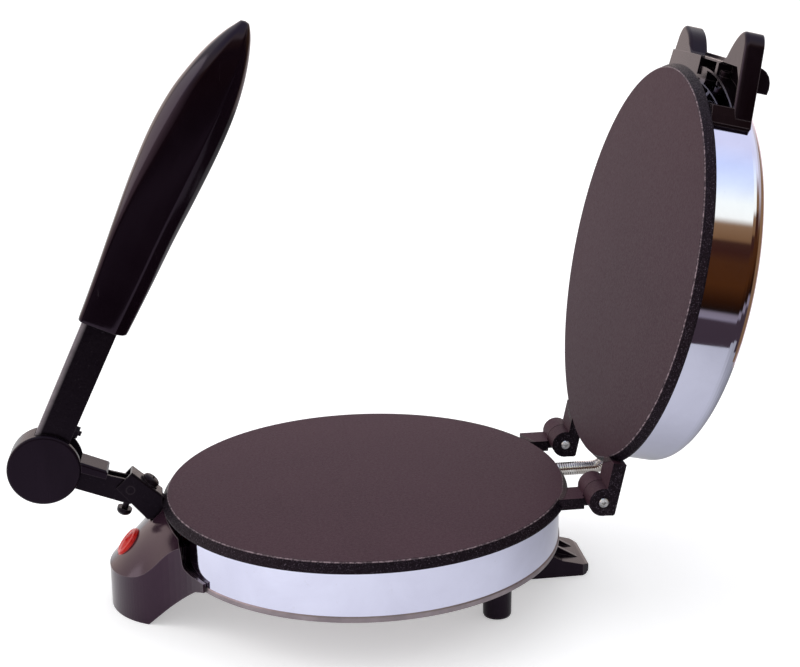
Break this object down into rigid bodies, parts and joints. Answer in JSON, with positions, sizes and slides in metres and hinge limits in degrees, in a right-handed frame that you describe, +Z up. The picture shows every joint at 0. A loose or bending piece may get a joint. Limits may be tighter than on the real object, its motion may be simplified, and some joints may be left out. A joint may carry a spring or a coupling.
{
  "type": "electric roti maker",
  "caption": "Countertop flat-bread press: two heated round plates, hinged lid swung open, and a two-piece press lever with a long grip at the front.",
  "frame": {"origin": "centre of the object's bounding box in plan, on the table plane, with the lid open and the lever raised as in the picture", "axes": "+X from the lever at the front to the lid hinge at the rear, +Z up, +Y along the hinge axis to the right-hand side seen from the lever"},
  "size_m": [0.436, 0.2454, 0.3452],
  "materials": {
    "cast_coated": "matte dark non-stick coating on the cooking face, rough cast rim",
    "polished_steel": "polished",
    "zinc_steel": "zinc plated",
    "black_steel": "black stove enamel",
    "black_moulding": "glossy phenolic moulding",
    "red_lens": "translucent red, ribbed",
    "lamp_glass": "clear",
    "insulation": "fibre board",
    "control_body": "ceramic",
    "terminal_ceramic": "ceramic",
    "rubber": "heat-resistant rubber"
  },
  "bodies": {
    "base": {"lower_plate": "cast_coated", "lower_heating_element": "zinc_steel", "lower_clamp_plate": "zinc_steel", "lower_insulation": "insulation", "thermostat": "control_body", "thermal_fuse": "control_body", "base_stud": "zinc_steel", "base_nuts": "zinc_steel", "lower_band": "polished_steel", "base_pan": "black_steel", "peg_feet": "black_moulding", "rear_leg": "black_moulding", "base_screws": "zinc_steel", "cord_inlet_bush": "rubber", "terminal_housing": "black_moulding", "indicator_bezel": "black_moulding", "indicator_lens": "red_lens", "neon_lamp": "lamp_glass", "terminal_block": "terminal_ceramic", "terminal_screws": "zinc_steel", "housing_screws": "zinc_steel", "lever_bracket": "black_steel", "bracket_washer": "black_steel", "bracket_bolt": "black_steel", "link_pivot_pin": "zinc_steel", "hinge_pins": "zinc_steel", "base_gland": "rubber", "wire_conduit": "polished_steel"},
    "lid": {"upper_plate": "cast_coated", "upper_heating_element": "zinc_steel", "upper_clamp_plate": "zinc_steel", "upper_insulation": "insulation", "lid_stud": "zinc_steel", "lid_inner_nut": "zinc_steel", "lid_cover": "polished_steel", "lid_cap_nut": "polished_steel", "lid_crown": "black_moulding", "crown_screws": "zinc_steel", "lid_gland": "rubber"},
    "link": {"link_channel": "black_steel", "link_cross_block": "black_steel", "link_stop_screw": "black_steel", "link_neck": "black_moulding", "hub_near_cap": "black_moulding", "hub_far_cap": "black_moulding"},
    "arm": {"handle_arm": "black_steel", "knee_pin": "zinc_steel", "arm_clip": "black_steel", "arm_clip_bolt": "black_steel", "grip": "black_moulding", "grip_screws": "zinc_steel"}
  },
  "joints": [
    {"name": "lid_hinge", "type": "hinge", "parent": "base", "child": "lid", "pos_m": [0.12437, 0, 0.0665], "axis": [0, 1, 0], "range_deg": [-102.2, 0], "deforming": ["wire_conduit"]},
    {"name": "link_pivot", "type": "hinge", "parent": "base", "child": "link", "pos_m": [-0.14883, 0, 0.0708], "axis": [0, 1, 0], "range_deg": [0, 26]},
    {"name": "arm_knee", "type": "hinge", "parent": "link", "child": "arm", "pos_m": [-0.19698, 0, 0.08775], "axis": [0, 1, 0], "range_deg": [0, 30]}
  ]
}
